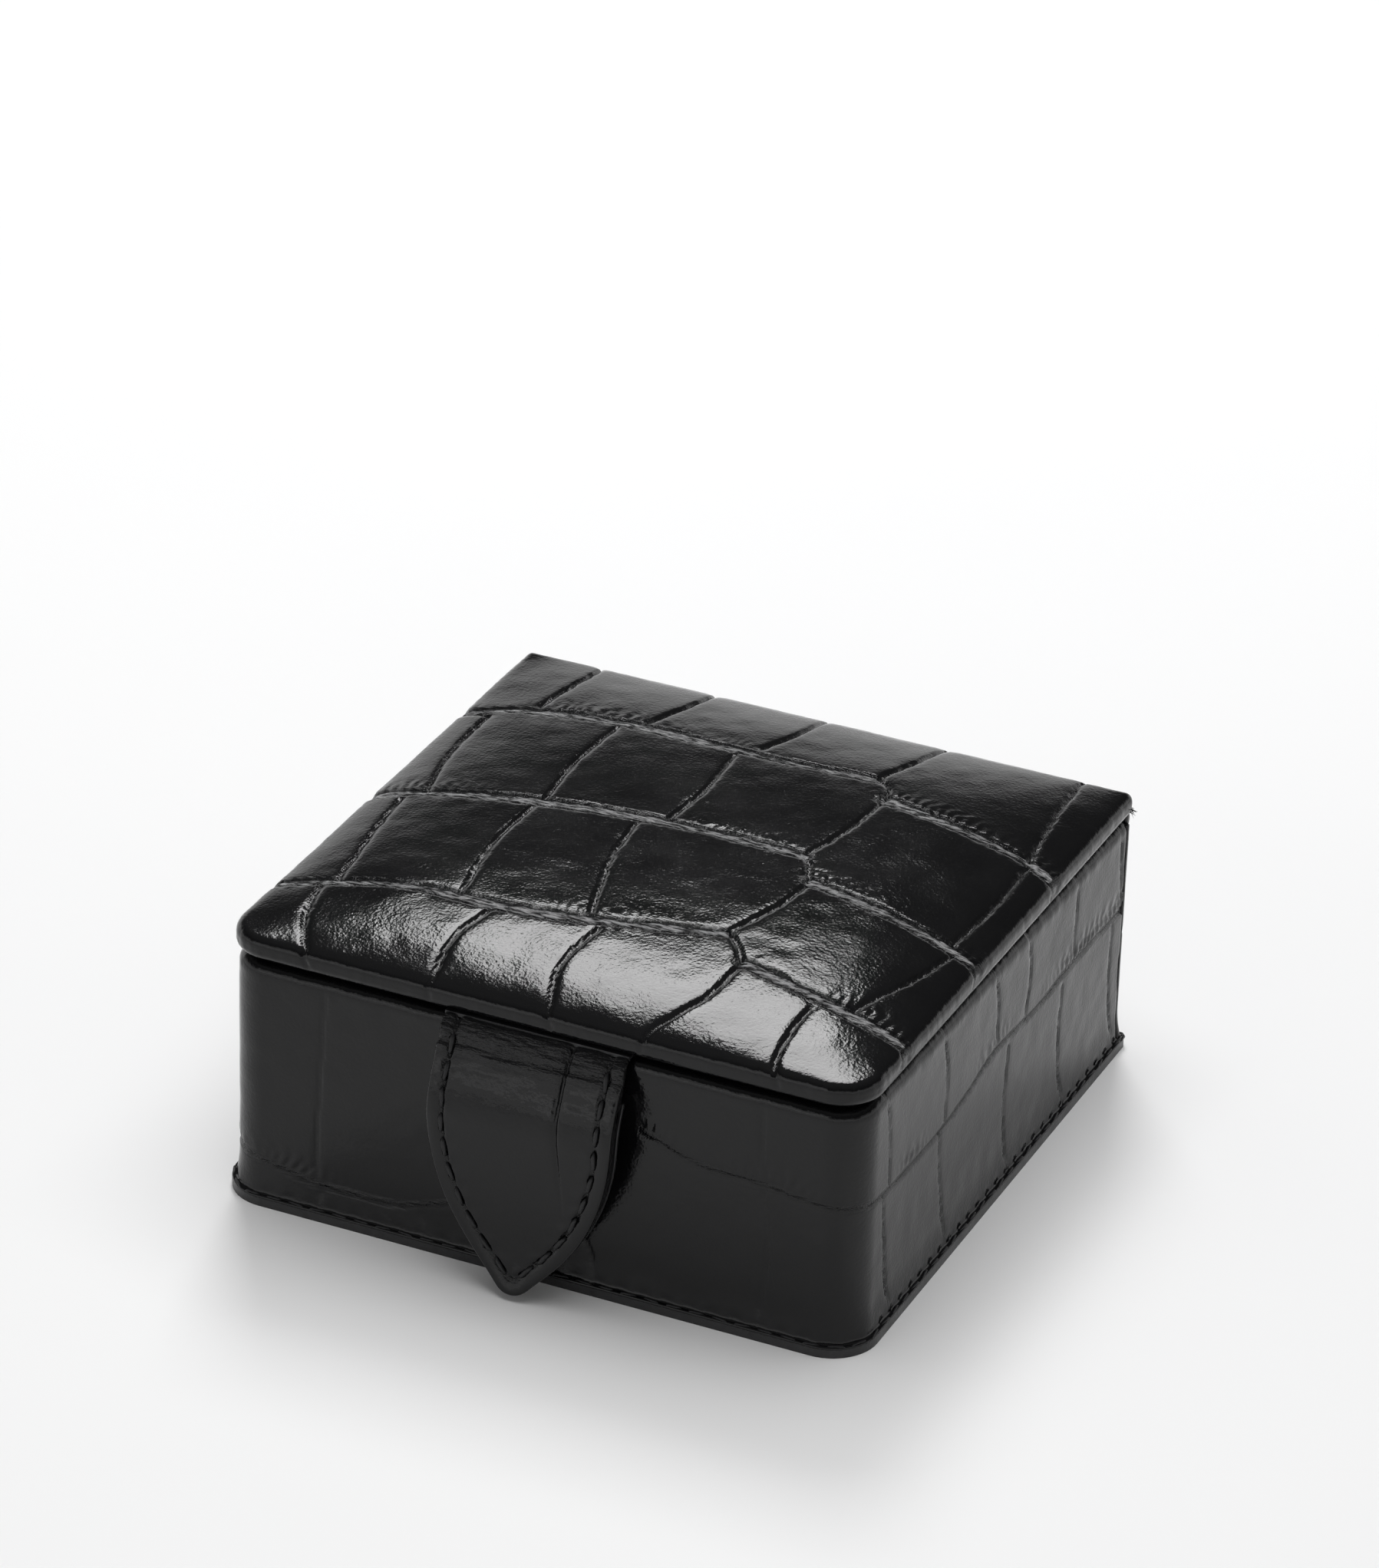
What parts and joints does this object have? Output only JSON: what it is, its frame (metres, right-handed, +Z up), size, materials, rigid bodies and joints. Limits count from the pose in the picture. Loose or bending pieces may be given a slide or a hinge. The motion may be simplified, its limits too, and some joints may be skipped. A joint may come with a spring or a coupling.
{
  "type": "leather-covered jewellery box",
  "caption": "Small square padded-lid box in embossed black leather, with a leather hinge, a pointed magnetic closing tab, a mirror, ring rolls and compartments.",
  "frame": {"origin": "on the table, under the middle of the lid", "axes": "+Z up, -Y towards the front with the tab, +X to the right seen from the front"},
  "size_m": [0.0912, 0.0976, 0.0428],
  "materials": {
    "embossed_leather": "glazed, crocodile-embossed",
    "plain_leather": "smooth, semi-matt",
    "thread": "waxed twisted thread",
    "board": "matt grey board",
    "wood": "raw",
    "foam": "open-cell, matt",
    "suede": "short nap",
    "mirror": "polished",
    "nickelled_steel": "bright nickel plate",
    "magnet": "satin plated"
  },
  "bodies": {
    "case": {"base_leather": "plain_leather", "base_board": "board", "floor_foam": "foam", "floor_lining": "suede", "front_wall_board": "board", "back_wall_board": "board", "left_wall_board": "board", "right_wall_board": "board", "front_corner_blocks": "wood", "wall_leather": "embossed_leather", "back_leather": "embossed_leather", "base_stitching": "thread", "wall_lining": "suede", "ring_roll_left": "suede", "ring_roll_middle": "suede", "ring_roll_right": "suede", "ring_roll_foams": "foam", "long_divider_board": "board", "long_divider_cover": "suede", "cross_divider_board": "board", "cross_divider_cover": "suede", "snap_striker": "nickelled_steel", "striker_washer": "nickelled_steel", "outer_hinge_leather": "embossed_leather", "inner_hinge_lining": "suede"},
    "lid": {"lid_board": "board", "lid_foam": "foam", "lid_leather": "embossed_leather", "lid_filler_card": "board", "lid_lining_board": "board", "lid_lining": "suede", "mirror": "mirror", "tab_root": "plain_leather"},
    "tab": {"tab_bend": "embossed_leather", "tab_leather": "embossed_leather", "tab_filler": "board", "tab_back_leather": "plain_leather", "magnet_cup": "nickelled_steel", "tab_magnet": "magnet", "cup_washer": "nickelled_steel", "tab_stitching": "thread"}
  },
  "joints": [
    {"name": "lid_hinge", "type": "hinge", "parent": "case", "child": "lid", "pos_m": [0, 0.045, 0.0353], "axis": [-1, 0, 0], "range_deg": [0, 105], "deforming": ["outer_hinge_leather", "inner_hinge_lining"]},
    {"name": "tab_flex", "type": "hinge", "parent": "lid", "child": "tab", "pos_m": [0, -0.0456, 0.0353], "axis": [-1, 0, 0], "range_deg": [0, 75], "deforming": ["tab_bend"]}
  ]
}
